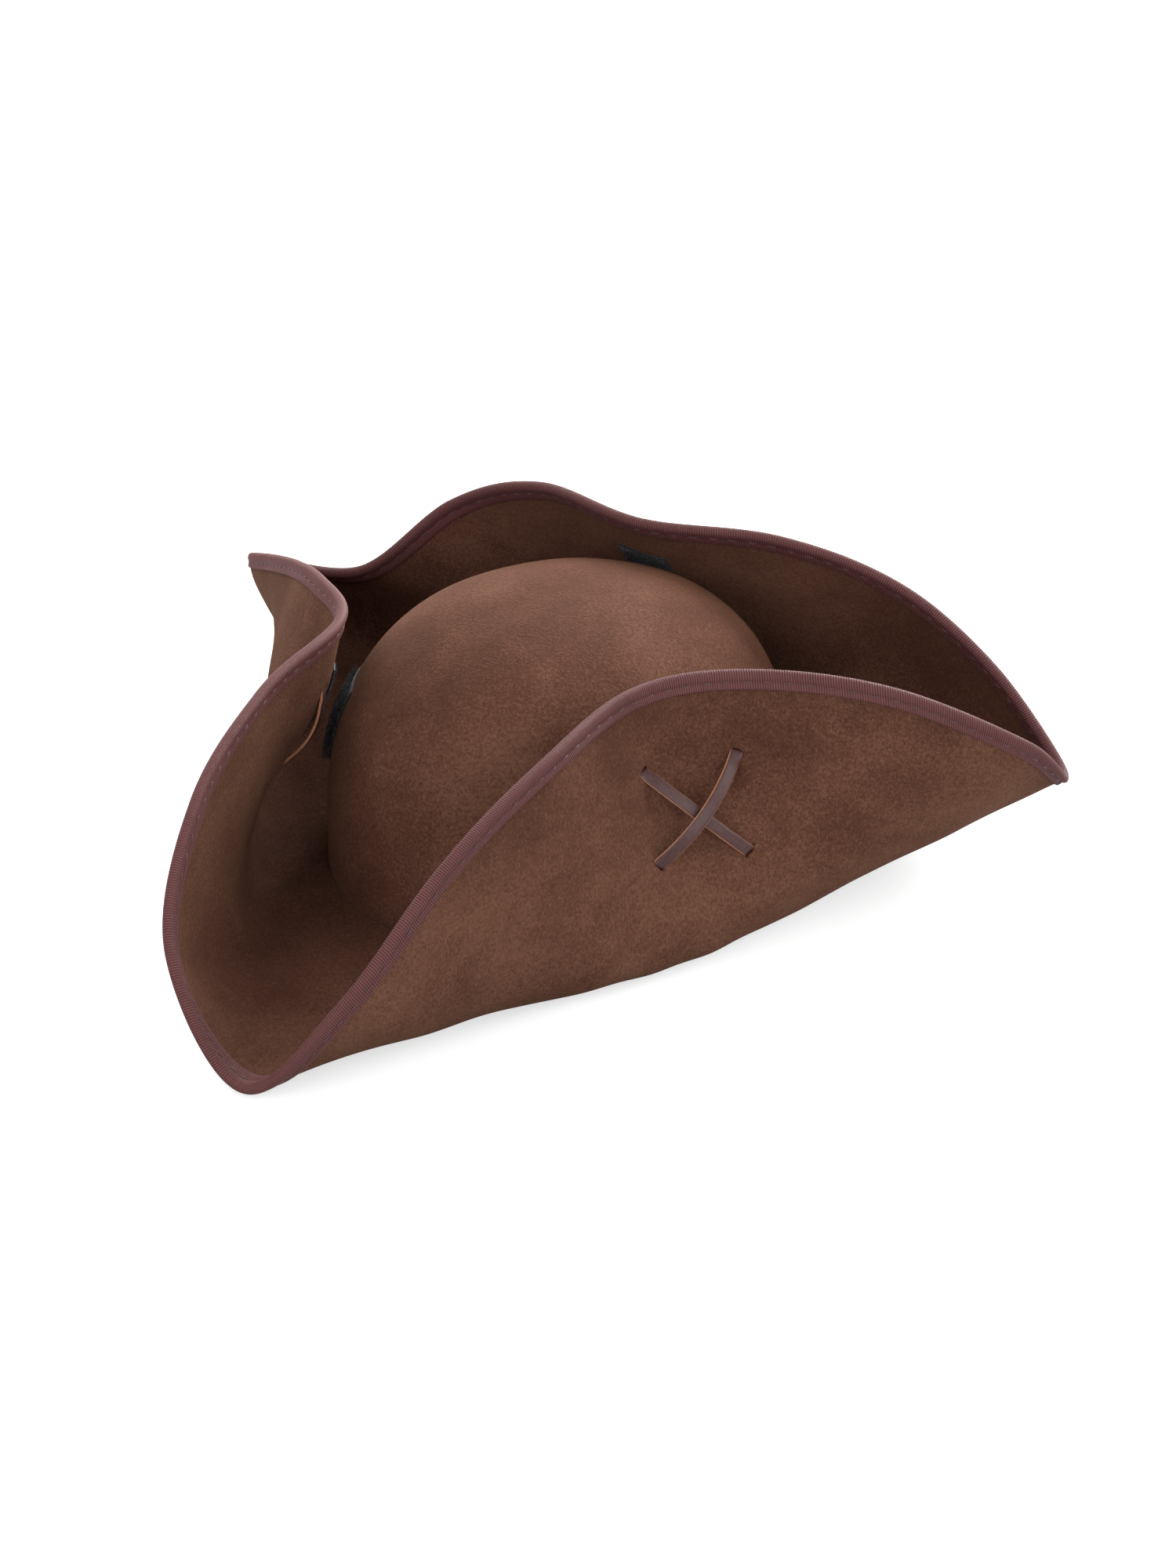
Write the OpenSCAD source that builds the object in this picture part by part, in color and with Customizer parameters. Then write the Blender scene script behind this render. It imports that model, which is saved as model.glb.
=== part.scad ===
// Three-cornered costume hat. A domed crown stands on a wide soft brim, and the
// brim is folded up into a right, a left and a back flap that meet in three
// corners. The origin is the centre of the head opening, on the plane that the
// hat rests on. +Z is up, -Y is the front corner, and +X is on the right of
// someone who faces that corner, which is where right and left are taken from.

/* [Crown] */
// Width of the crown at the head opening
crown_w = 182; // [178:1:185]
// Length of the crown at the head opening
crown_l = 215; // [210:1:219]
// Height of the crown above the table
crown_h = 110; // [104:1:112]
// Thickness of the crown's padded cloth
crown_t = 2; // [1.5:0.1:2.2]
// Height of the sweatband
band_h = 30; // [20:1:34]

/* [Brim] */
// Thickness of the brim's bonded cloth
brim_t = 2.4; // [1.8:0.1:2.6]
// Width of the tape over the crown seam, on the underside
tape_w = 12; // [8:1:16]
// How far the side flaps are pulled in where they are fastened
pinch = 14; // [0:1:15]

/* [Edge binding] */
// Width of the folded ribbon on each face of the brim
bind_w = 8; // [6:0.5:10]
// Thickness of the ribbon
bind_t = 0.8; // [0.5:0.1:1]
// Diameter of the wire in the edge
wire_d = 1.6; // [1:0.1:1.8]
// Distance from one stitch to the next
stitch_pitch = 9; // [7:0.5:14]

/* [Lacing] */
// Width of the flat thong
thong_w = 5; // [4:0.5:6]
// Thickness of the thong
thong_t = 1.2; // [0.8:0.1:1.4]

/* [Fasteners] */
// Width of a hook-and-loop pad
pad_w = 26; // [20:1:30]
// Thickness of a pad
pad_t = 1.4; // [1:0.1:2]

/* [Hidden] */
SIDES = ["right", "back", "left"];

suede = [0.41, 0.28, 0.21];
ribbon = [0.42, 0.27, 0.27];
black = [0.1, 0.1, 0.12];
leather = [0.33, 0.24, 0.23];
steel = [0.7, 0.7, 0.72];

slack = 0.2;                        // gap between layers that are sewn together
tape_t = 1;
lining_t = 0.8;
band_t = 1.2;
brim_z = tape_t + 0.1 + brim_t / 2; // middle of the brim where it meets the crown

// Stations round the right half of the brim, from the front corner to the
// middle of the back. Each one has the angle where it leaves the crown, how far
// it runs out flat, the point that it folds round, and its point on the edge.
half_stations = [
    [-90, 60, [0, -212, 2], [0, -236, 4]],
    [-75, 58, [46, -193, 4], [38, -224, 47]],
    [-60, 55, [66, -135, 6], [54, -181, 86]],
    [-45, 48, [86, -100, 4], [62, -124, 105]],
    [-30, 40, [112, -78, 8], [68, -66, 110]],
    [-15, 32, [142, -52, 18], [100, -23, 110]],
    [0, 34, [164, -12, 26], [148, 0, 105]],
    [18, 44, [178, 34, 30], [192, 33, 78]],
    [36, 54, [178, 88, 38], [192, 70, 48]],
    [50, 46, [120, 128, 38], [151, 92, 74]],
    [63, 32, [68, 142, 32], [106, 97, 99]],
    [76, 18, [32, 145, 26], [58, 80, 117]],
    [90, 12, [0, 145, 22], [0, 63, 119]]];
front = 0;
right_corner = 8;
middle_back = 12;
left_corner = 16;
last = 2 * middle_back;             // the front corner again, after one turn

// The left corner is creased tighter than the right one. These rows move its
// fold and edge points, from the back flap round to the left flap.
crease_at = 14;
crease = [
    [[0, 0, 0], [0, -10, -3]],
    [[6, -20, 0], [8, -24, -11]],
    [[-31, -8, -13], [-6, 4, 8]],
    [[2, 4, -7], [26, 7, -2]],
    [[10, 0, 0], [17, 8, -12]],
    [[0, 0, 0], [-4, 2, -6]]];

function flipped(p) = [-p.x, p.y, p.z];
function mirrored(s) = [180 - s[0], s[1], flipped(s[2]), flipped(s[3])];
function creased(s, k) = let (i = k - crease_at)
    i < 0 || i >= len(crease) ? s : [s[0], s[1], s[2] + crease[i][0], s[3] + crease[i][1]];
stations = [for (k = [0:last - 1])
    creased(k <= middle_back ? half_stations[k] : mirrored(half_stations[last - k]), k)];

function unit(v) = v / norm(v);
function on_oval(a, grow = 0, z = 0) =
    [(crown_w / 2 + grow) * cos(a), (crown_l / 2 + grow) * sin(a), z];
function oval_normal(a) = unit([cos(a) / crown_w, sin(a) / crown_l, 0]);

// The four guide curves of the brim: its foot at the crown, the end of its flat
// part, its fold and its edge.
foot_points = [for (s = stations) on_oval(s[0], slack, brim_z)];
flat_points = [for (s = stations) on_oval(s[0], 0, brim_z + 0.7) + s[1] * oval_normal(s[0])];
fold_points = [for (s = stations) s[2]];
edge_points = [for (s = stations) s[3]];

// A smooth closed curve through the points, at station number u
function along(points, u) =
    let (n = len(points), i = floor(u), t = u - i,
        a = points[(i + n - 1) % n], b = points[(i + n) % n],
        c = points[(i + n + 1) % n], d = points[(i + n + 2) % n])
    (2 * b + (c - a) * t + (2 * a - 5 * b + 4 * c - d) * pow(t, 2)
        + (3 * b - a - 3 * c + d) * pow(t, 3)) / 2;

// Where a side flap is fastened to the crown it is pulled in
side_pinch_u = 4.4;
pinch_v = 0.84;
function pull(u, v, at) = pinch * exp(-pow((u - at) / 0.9, 2) - pow((v - pinch_v) / 0.16, 2));
function inward(p) = -unit([p.x, p.y, 0]);

// The middle of the brim's cloth, from its foot at v = 0 to its edge at v = 1
function brim(u, v) =
    let (w = 1 - v,
        p = pow(w, 3) * along(foot_points, u) + 3 * v * pow(w, 2) * along(flat_points, u)
            + 3 * pow(v, 2) * w * along(fold_points, u) + pow(v, 3) * along(edge_points, u))
    p + inward(p) * (pull(u, v, side_pinch_u) + pull(u, v, last - side_pinch_u));

function brim_across(u, v) = (brim(u, v + 0.01) - brim(u, v - 0.01)) / 0.02;
function brim_normal(u, v) =
    unit(cross(brim(u + 0.02, v) - brim(u - 0.02, v), brim_across(u, v)));

// A point on the brim, h to its outer side, and one that is d in from the edge
function off_brim(u, v, h) = brim(u, v) + h * brim_normal(u, v);
function in_from_edge(u, d) = 1 - d / norm(brim_across(u, 1));
function at_edge(u, d, h) = off_brim(u, in_from_edge(u, d), h);

// Skins rings of points into one solid, as a tube with ends or as a closed loop.
// The second half of each ring runs back beside the first half, so that strips
// between the halves close the ends.
module skin(rings, closed = false) {
    n = len(rings);
    m = len(rings[0]);
    points = [for (r = rings) each r];
    sides = [for (i = [0 : closed ? n - 1 : n - 2], j = [0:m - 1])
        let (a = i * m + j, b = i * m + (j + 1) % m,
            c = ((i + 1) % n) * m + (j + 1) % m, d = ((i + 1) % n) * m + j)
        each [[a, b, c], [a, c, d]]];
    strip = [for (j = [0:m / 2 - 2]) let (k = m - 1 - j)
        each (j < m / 2 - 2 || k - 1 > j + 1 ? [[j, k, j + 1], [j + 1, k, k - 1]] : [[j, k, j + 1]])];
    ends = closed ? [] : [for (t = strip) each [t, [t[2], t[1], t[0]] + (n - 1) * m * [1, 1, 1]]];
    faces = concat(sides, ends);
    volumes = [for (f = faces) cross(points[f[0]], points[f[1]]) * points[f[2]]];
    total = volumes * [for (v = volumes) 1];
    turned = total < 0 ? faces : [for (f = faces) [f[0], f[2], f[1]]];
    polyhedron(points = points, faces = turned, convexity = 8);
}

// ---- Flaps: where each one starts and stops ----

span_of = [[front, right_corner], [right_corner, left_corner], [left_corner, last]];
pad_middle = [side_pinch_u, middle_back + 0.15, last - side_pinch_u];
step_u = 0.25;                      // stations from one ring to the next
corner_gap = 0.45;                  // stations from a corner to the end of a flap
fold_low = 0.44;                    // how far out the fold lies at a flap's middle
fold_high = 0.9;                    // and at its ends
fold_gap = 0.016;                   // slit between a flap and the brim base
cloth_rows = 10;

bead_r = brim_t / 2 + slack + bind_t;
cloth_end = bead_r + wire_d / 2 + 2 * slack;   // the cloth stops this far inside the edge

function span_middle(s) = (s[0] + s[1]) / 2;
function span_reach(s) = (s[1] - s[0]) / 2 - corner_gap;
function fold_v(u, s) =
    fold_low + (fold_high - fold_low) * pow(abs(u - span_middle(s)) / span_reach(s), 2.4);
function base_end(u) =
    let (hits = [for (s = span_of) if (abs(u - span_middle(s)) < span_reach(s)) fold_v(u, s)])
    len(hits) > 0 ? hits[0] - fold_gap : in_from_edge(u, cloth_end);
function rings_of(s) = [for (u = [s[0] + 2 * step_u : step_u : s[1] - 2 * step_u]) u];

function spaced(a, b, n) = [for (i = [0:n]) a + (b - a) * i / n];
function cloth_ring(u, a, b, low, high) = concat(
    [for (v = spaced(a, b, cloth_rows)) off_brim(u, v, high)],
    [for (v = spaced(b, a, cloth_rows)) off_brim(u, v, low)]);

// ---- Crown, sweatband and tape ----

crown_sides = 64;
crown_levels = 13;
plan_power = 2.5;
side_power = 3.2;

// How far the crown has drawn in at height z
function drawn_in(z, top) = pow(1 - pow(max(z, 0) / top, side_power), 1 / plan_power);

// A solid dome of the crown's shape, smaller by inset all round
module dome(inset, foot) {
    top = crown_h - inset;
    levels = [for (i = [0:crown_levels]) foot + (top - foot) * sin(89 * i / crown_levels)];
    skin([for (z = levels) [for (j = [0:crown_sides - 1])
        drawn_in(z, top) * on_oval(j * 360 / crown_sides, -inset) + [0, 0, z]]]);
}

module dome_shell(inset, thickness) {
    difference() {
        dome(inset, tape_t + 0.1);
        dome(inset + thickness, -1);
    }
}

module oval(grow) {
    polygon([for (j = [0:crown_sides - 1])
        let (p = on_oval(j * 360 / crown_sides, grow)) [p.x, p.y]]);
}

module oval_ring(outer, inner, z, h) {
    translate([0, 0, z]) linear_extrude(h) difference() {
        oval(outer);
        oval(inner);
    }
}

module crown_shell() {
    color(suede) dome_shell(0, crown_t);
}

lining_inset = crown_t + slack;
module crown_lining() {
    color(black) dome_shell(lining_inset, lining_t);
}

band_inset = lining_inset + lining_t + 1.1;   // clear of the lining, which leans in
module sweatband() {
    color(black) oval_ring(-band_inset, -band_inset - band_t, tape_t + 0.1, band_h);
}

sweat_stitches = 72;
module sweatband_stitching() {
    inner_face = band_inset + band_t;
    color(ribbon) for (i = [0:sweat_stitches - 1]) {
        a = i * 360 / sweat_stitches;
        n = oval_normal(a);
        translate(on_oval(a, -inner_face, tape_t + 4) - 0.4 * n)
            rotate([0, 0, atan2(n.y, n.x)]) cube([0.5, 3.5, 0.7], center = true);
    }
}

tape_under_crown = 4;
module seam_tape() {
    color(black) oval_ring(tape_w - tape_under_crown, -tape_under_crown, 0, tape_t);
}

// ---- Brim ----

module brim_base() {
    edge = brim_t / 2;
    color(suede) skin([for (u = [0 : step_u : last - step_u])
        cloth_ring(u, 0, base_end(u), -edge, edge)], true);
}

module flap_cloth(s) {
    edge = brim_t / 2;
    skin([for (u = rings_of(s))
        cloth_ring(u, fold_v(u, s), in_from_edge(u, cloth_end), -edge, edge)]);
}

// The ribbon's section, folded round the edge: d in from the edge, h off the cloth
bead_angles = [for (a = [90 : -30 : -90]) a];
function bead(r) = [for (a = bead_angles) [bead_r - r * cos(a), r * sin(a)]];
function backwards(list) = [for (i = [len(list) - 1 : -1 : 0]) list[i]];
function fold_over(r) = concat([[bind_w, r]], bead(r), [[bind_w, -r]]);
ribbon_section = concat(fold_over(bead_r), backwards(fold_over(bead_r - bind_t)));

module along_edge(section, us) {
    skin([for (u = us) [for (p = section) at_edge(u, p[0], p[1])]]);
}

module flap_binding(s) {
    color(ribbon) along_edge(ribbon_section, rings_of(s));
}

corner_rings = 8;
module corner_binding(at) {
    color(ribbon) along_edge(ribbon_section, spaced(at - corner_gap, at + corner_gap, corner_rings));
}

wire_sides = 6;
wire_section = [for (i = [0:wire_sides - 1])
    let (a = 30 + i * 360 / wire_sides) [bead_r, 0] + wire_d / 2 * [cos(a), sin(a)]];
module flap_wire(s) {
    color(steel) along_edge(wire_section, rings_of(s));
}

stitch_in = 5;                      // the stitches run this far inside the edge
stitch_l = 3.5;
module flap_stitching(s) {
    us = rings_of(s);
    first = us[0];
    run = us[len(us) - 1] - first;
    mm_per_station = 56;
    count = floor(run * mm_per_station / stitch_pitch);
    half = stitch_l / mm_per_station / 2;
    color(ribbon) for (i = [0:count - 1], face = [-1, 1]) {
        u = first + run * (i + 0.5) / count;
        low = face * (bead_r + 0.05);
        high = face * (bead_r + 0.5);
        along_edge([[stitch_in - 0.35, low], [stitch_in - 0.35, high],
            [stitch_in + 0.35, high], [stitch_in + 0.35, low]], [u - half, u + half]);
    }
}

// ---- Hook-and-loop pads ----

flap_pad_v = [[0.76, 0.9], [0.875, 0.92], [0.76, 0.9]];
pad_rows = 4;
mm_per_pad_station = 56;
module flap_pad(i) {
    reach = pad_w / 2 / mm_per_pad_station;
    low = -brim_t / 2 - slack;
    v = flap_pad_v[i];
    color(black) skin([for (u = spaced(pad_middle[i] - reach, pad_middle[i] + reach, pad_rows))
        concat([for (w = spaced(v[0], v[1], pad_rows)) off_brim(u, w, low)],
            [for (w = spaced(v[1], v[0], pad_rows)) off_brim(u, w, low - pad_t)])]);
}

crown_pad_z = [[44, 74], [28, 58], [44, 74]];
crown_pad_angle = [-27, 94, 207];
function on_crown(a, z, h) = drawn_in(z, crown_h) * on_oval(a, h) + [0, 0, z];
module crown_pad(i) {
    reach = pad_w / crown_w * 180 / PI;
    z = crown_pad_z[i];
    color(black) skin([for (a = spaced(crown_pad_angle[i] - reach, crown_pad_angle[i] + reach, pad_rows))
        concat([for (h = spaced(z[0], z[1], pad_rows)) on_crown(a, h, slack + pad_t)],
            [for (h = spaced(z[1], z[0], pad_rows)) on_crown(a, h, slack)])]);
}

// ---- Lacing ----

// Holes from the middle of the cross, in stations, and how far out on the flap
lace_holes = [[-0.62, 0.73], [-0.45, 0.885], [0.33, 0.695], [0.45, 0.88]];
hole_r = 3;
plug_r = thong_w / 2 - 0.2;
lace_steps = 8;
lace_lift = brim_t / 2 + slack + thong_t / 2;

function hole_uv(at) = [for (h = lace_holes) [at + (at < middle_back ? 1 : -1) * h[0], h[1]]];

// Rounds off a short plug through the cloth at one hole
module through_cloth(uv, r, reach) {
    across = unit(brim_across(uv[0], uv[1]));
    beside = cross(brim_normal(uv[0], uv[1]), across);
    skin([for (h = [-reach, reach]) [for (i = [0:7])
        off_brim(uv[0], uv[1], h) + r * (cos(i * 45) * across + sin(i * 45) * beside)]]);
}

// A flat strap from one hole to another, lifted off the cloth by low to high
module strap(from, to, low, high) {
    rings = [for (i = [0:lace_steps])
        let (t = i / lace_steps,
            uv = from + (to - from) * t,
            n = brim_normal(uv[0], uv[1]),
            p = brim(uv[0], uv[1]) + (low + (high - low) * 4 * t * (1 - t)) * n,
            ahead = brim(to[0], to[1]) - brim(from[0], from[1]),
            w = unit(cross(n, ahead)) * thong_w / 2,
            h = n * thong_t / 2)
        [p - w + h, p + w + h, p + w - h, p - w - h]];
    skin(rings);
}

module lace(at) {
    h = hole_uv(at);
    color(leather) {
        strap(h[1], h[2], lace_lift, lace_lift + 0.8);
        strap(h[0], h[3], lace_lift, lace_lift + thong_t + 2.2);
        strap(h[0], h[1], -lace_lift, -lace_lift - 4);
        strap(h[2], h[3], -lace_lift, -lace_lift - 2);
        for (uv = h) through_cloth(uv, plug_r, lace_lift);
    }
}

module flap(i) {
    color(suede) difference() {
        flap_cloth(span_of[i]);
        if (i != 1) for (uv = hole_uv(pad_middle[i])) through_cloth(uv, hole_r, brim_t);
    }
}

// ---- The hat, piece by piece ----

crown_shell();
crown_lining();
sweatband();
sweatband_stitching();
seam_tape();
brim_base();
lace(pad_middle[0]);  // right_lace
lace(pad_middle[2]);  // left_lace
corner_binding(front);  // front_corner_binding
corner_binding(right_corner);  // right_corner_binding
corner_binding(left_corner);  // left_corner_binding
for (i = [0:2]) {
    flap(i);
    flap_binding(span_of[i]);
    flap_stitching(span_of[i]);
    flap_wire(span_of[i]);
    flap_pad(i);
    crown_pad(i);
}
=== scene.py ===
import bmesh
import bpy
import math
import numpy as np
from mathutils import Matrix, Vector


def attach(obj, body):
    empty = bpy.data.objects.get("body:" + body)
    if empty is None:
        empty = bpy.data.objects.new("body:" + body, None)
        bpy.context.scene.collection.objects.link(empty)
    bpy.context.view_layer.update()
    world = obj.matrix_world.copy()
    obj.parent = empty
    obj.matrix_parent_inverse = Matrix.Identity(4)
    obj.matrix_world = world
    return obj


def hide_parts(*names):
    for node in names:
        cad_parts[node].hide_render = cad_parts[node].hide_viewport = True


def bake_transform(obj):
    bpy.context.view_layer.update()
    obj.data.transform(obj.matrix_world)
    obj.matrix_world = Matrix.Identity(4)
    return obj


# three-cornered costume hat, cut from brushed suede cloth
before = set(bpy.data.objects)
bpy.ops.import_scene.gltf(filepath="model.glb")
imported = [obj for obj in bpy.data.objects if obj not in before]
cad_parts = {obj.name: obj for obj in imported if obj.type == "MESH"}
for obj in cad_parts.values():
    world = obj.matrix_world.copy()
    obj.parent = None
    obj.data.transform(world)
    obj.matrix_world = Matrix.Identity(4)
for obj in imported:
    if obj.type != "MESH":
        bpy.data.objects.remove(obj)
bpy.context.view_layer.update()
mm = 0.001
tau = 2 * math.pi


# small tools for curves, grids and meshes

def unitOf(v):
    # each vector divided by its own length
    return v / np.maximum(np.linalg.norm(v, axis=-1, keepdims=True), 1e-12)


def closedCurve(points, u):
    # catmull-rom: a smooth loop through the points, u counts the points
    n = len(points)
    i = np.floor(u).astype(int)
    t = (u - i)[..., None]
    a, b, c, d = (points[(i + k) % n] for k in (-1, 0, 1, 2))
    return (2 * b + (c - a) * t + (2 * a - 5 * b + 4 * c - d) * t**2
            + (3 * b - a - 3 * c + d) * t**3) / 2


def bump(x, middle, width):
    # bell curve, 1 at the middle
    return np.exp(-((x - middle) / width) ** 2)


def ease(x):
    # 0 to 1 with level ends
    x = np.clip(x, 0, 1)
    return x * x * (3 - 2 * x)


def meshFrom(name, points, faces, uv=None):
    # points (n, 3) in metres and quads (m, 4); turned so that the volume is positive
    p, q, r = points[faces[:, 0]], points[faces[:, 1]], points[faces[:, 2]]
    s = points[faces[:, 3]]
    volume = (np.cross(p, q) * r).sum() + (np.cross(p, r) * s).sum()
    if volume < 0:
        faces = faces[:, ::-1]
        uv = None if uv is None else uv[:, ::-1]
    mesh = bpy.data.meshes.new(name)
    mesh.vertices.add(len(points))
    mesh.vertices.foreach_set("co", points.astype(np.float32).ravel())
    mesh.loops.add(faces.size)
    mesh.loops.foreach_set("vertex_index", faces.astype(np.int32).ravel())
    mesh.polygons.add(len(faces))
    mesh.polygons.foreach_set("loop_start", np.arange(0, faces.size, 4, dtype=np.int32))
    mesh.update(calc_edges=True)
    if uv is not None:
        layer = mesh.uv_layers.new(name="flat")
        layer.data.foreach_set("uv", uv.astype(np.float32).ravel())
    mesh.polygons.foreach_set("use_smooth", np.ones(len(faces), bool))
    rest = mesh.attributes.new("rest", "FLOAT_VECTOR", "POINT")   # cloth patterns hold on to this
    rest.data.foreach_set("vector", points.astype(np.float32).ravel())
    mesh.validate()
    obj = bpy.data.objects.new(name, mesh)
    bpy.context.scene.collection.objects.link(obj)
    return obj


def skinFaces(rings, sides, loop=False):
    # quads over a (rings, sides) grid that is closed round its sides; open ends
    # are shut by strips between the two halves of the end ring
    i = np.arange(rings if loop else rings - 1)[:, None]
    j = np.arange(sides)[None]
    i2, j2 = (i + 1) % rings, (j + 1) % sides
    walls = np.stack([i * sides + j, i * sides + j2, i2 * sides + j2, i2 * sides + j], -1)
    faces = [walls.reshape(-1, 4)]
    if not loop:
        k = np.arange(sides // 2 - 1)
        strip = np.stack([k, sides - 1 - k, sides - 2 - k, k + 1], -1)
        faces += [strip, strip[:, ::-1] + (rings - 1) * sides]
    return np.concatenate(faces)


def skin(name, rings, loop=False, across=None, along=None):
    # one closed solid over a grid of ring points (rings, sides, 3)
    n, m = rings.shape[:2]
    faces = skinFaces(n, m, loop)
    uv = None
    if along is not None:
        # along has one value per ring, across one per side and one for the seam
        i = faces // m
        j = faces % m
        turn = (np.ptp(i, axis=1) > n / 2)[:, None] & (i == 0)
        seam = (np.ptp(j, axis=1) > m / 2)[:, None] & (j == 0)
        i = np.where(turn, n, i)
        j = np.where(seam, m, j)
        uv = np.stack([np.asarray(along)[i], np.asarray(across)[j]], -1)
    return meshFrom(name, rings.reshape(-1, 3), faces, uv)


def manySkins(name, rings):
    # many small closed solids in one mesh, rings (count, rings, sides, 3)
    count, n, m = rings.shape[:3]
    faces = skinFaces(n, m)
    faces = faces[None] + (np.arange(count) * n * m)[:, None, None]
    return meshFrom(name, rings.reshape(-1, 3), faces.reshape(-1, 4))


def closePoles(obj, distance=0.00002):
    # merges the points that meet at a pole, then drops what has no area
    bm = bmesh.new()
    bm.from_mesh(obj.data)
    bmesh.ops.remove_doubles(bm, verts=bm.verts, dist=distance)
    bm.to_mesh(obj.data)
    bm.free()
    return obj


# the form of the hat

hatForm = {
    "crownWide": 182 * mm,
    "crownLong": 215 * mm,
    "crownHigh": 110 * mm,
    "cloth": 2.4 * mm,         # thickness of the brim
    "footHigh": 2.3 * mm,      # middle of the brim's cloth where it leaves the crown
    "sidePinch": 14 * mm,      # how far the side flaps are pulled in at their pads
    "sidePinchAt": 4.4,
}

# angle at the crown, length of the flat part, fold point, edge point; from the
# front corner round the right side to the middle of the back, in mm
halfStations = [
    (-90, 60, (0, -212, 2), (0, -236, 4)),
    (-75, 58, (46, -193, 4), (38, -224, 47)),
    (-60, 55, (66, -135, 6), (54, -181, 86)),
    (-45, 48, (86, -100, 4), (62, -124, 105)),
    (-30, 40, (112, -78, 8), (68, -66, 110)),
    (-15, 32, (142, -52, 18), (100, -23, 110)),
    (0, 34, (164, -12, 26), (148, 0, 105)),
    (18, 44, (178, 34, 30), (192, 33, 78)),
    (36, 54, (178, 88, 38), (192, 70, 48)),
    (50, 46, (120, 128, 38), (151, 92, 74)),
    (63, 32, (68, 142, 32), (106, 97, 99)),
    (76, 18, (32, 145, 26), (58, 80, 117)),
    (90, 12, (0, 145, 22), (0, 63, 119)),
]
# the left corner is creased tighter: shifts of its fold and edge points, in mm
creaseAt = 14
crease = [
    ((0, 0, 0), (0, -10, -3)),
    ((6, -20, 0), (8, -24, -11)),
    ((-31, -8, -13), (-6, 4, 8)),
    ((2, 4, -7), (26, 7, -2)),
    ((10, 0, 0), (17, 8, -12)),
    ((0, 0, 0), (-4, 2, -6)),
]
lastStation = 24


def allStations():
    # the right half, and its mirror image with the left corner's own crease
    half = [(a, reach, np.array(f, float), np.array(e, float)) for a, reach, f, e in halfStations]
    flip = np.array([-1, 1, 1])
    rows = half + [(180 - a, reach, f * flip, e * flip) for a, reach, f, e in half[-2:0:-1]]
    for k, (moveFold, moveEdge) in enumerate(crease):
        a, reach, f, e = rows[creaseAt + k]
        rows[creaseAt + k] = (a, reach, f + moveFold, e + moveEdge)
    return rows


def ovalPoint(angle, grow=0.0, z=0.0):
    # a point on the head opening's oval, grown by some metres
    a = np.radians(angle)
    x = (hatForm["crownWide"] / 2 + grow) * np.cos(a)
    y = (hatForm["crownLong"] / 2 + grow) * np.sin(a)
    return np.stack(np.broadcast_arrays(x, y, z), -1)


def ovalNormal(angle):
    a = np.radians(angle)
    x = np.cos(a) / hatForm["crownWide"]
    y = np.sin(a) / hatForm["crownLong"]
    return unitOf(np.stack([x, y, 0 * x], -1))


stationRows = allStations()
stationAngle = np.array([row[0] for row in stationRows], float)
stationReach = np.array([row[1] for row in stationRows], float)[:, None] * mm
footGuide = ovalPoint(stationAngle, 0.2 * mm, hatForm["footHigh"])
flatGuide = (ovalPoint(stationAngle, 0, hatForm["footHigh"] + 0.7 * mm)
             + stationReach * ovalNormal(stationAngle))
foldGuide = np.array([row[2] for row in stationRows]) * mm
edgeGuide = np.array([row[3] for row in stationRows]) * mm


def brimPoint(u, v):
    # cubic blend of the four guide loops from foot (v = 0) to edge (v = 1),
    # drawn in towards the crown where the side flaps are fastened
    u, v = np.broadcast_arrays(np.asarray(u, float), np.asarray(v, float))
    t = v[..., None]
    p = ((1 - t) ** 3 * closedCurve(footGuide, u) + 3 * t * (1 - t) ** 2 * closedCurve(flatGuide, u)
         + 3 * t**2 * (1 - t) * closedCurve(foldGuide, u) + t**3 * closedCurve(edgeGuide, u))
    at = hatForm["sidePinchAt"]
    around = bump(u % lastStation, at, 0.9) + bump(u % lastStation, lastStation - at, 0.9)
    pull = hatForm["sidePinch"] * around * bump(v, 0.84, 0.16)
    flatDirection = p * np.array([1, 1, 0])
    return p - unitOf(flatDirection) * pull[..., None]


def brimAcross(u, v):
    return (brimPoint(u, v + 0.01) - brimPoint(u, v - 0.01)) / 0.02


def brimNormal(u, v):
    # to the outer side of the brim
    return unitOf(np.cross(brimPoint(u + 0.02, v) - brimPoint(u - 0.02, v), brimAcross(u, v)))


def softWaves(u, v):
    # slow waves of hand-shaped cloth, none at the foot and little at the edge
    s = u * tau / lastStation
    waves = (0.7 * np.sin(9 * s + 5 * v + 0.6) + 0.6 * np.sin(14 * s - 7 * v + 2.1)
             + 0.4 * np.sin(23 * s + 11 * v + 4.0) + 0.3 * np.sin(31 * s - 4 * v + 1.2))
    return 0.45 * mm * waves * ease(v / 0.25) * (1 - 0.8 * ease((v - 0.7) / 0.3))


def offBrim(u, v, h):
    # h metres off the middle of the cloth, to the outer side
    u, v, h = np.broadcast_arrays(np.asarray(u, float), np.asarray(v, float), np.asarray(h, float))
    return brimPoint(u, v) + (h + softWaves(u, v))[..., None] * brimNormal(u, v)


def inFromEdge(u, d):
    # the v that lies d metres inside the edge
    u, d = np.broadcast_arrays(np.asarray(u, float), np.asarray(d, float))
    return 1 - d / np.linalg.norm(brimAcross(u, np.ones_like(u)), axis=-1)


def atEdge(u, d, h):
    return offBrim(u, inFromEdge(u, d), h)


# distance along the edge, to space ribs and stitches evenly
fineU = np.linspace(0, lastStation, 4801)
fineEdge = brimPoint(fineU, 1.0)
edgeRun = np.concatenate([[0], np.cumsum(np.linalg.norm(np.diff(fineEdge, axis=0), axis=1))])


def edgeU(run):
    return np.interp(run, edgeRun, fineU)


def edgeDistance(u):
    return np.interp(u, fineU, edgeRun)


# the three flaps, and a step that bakes each piece in place

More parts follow.
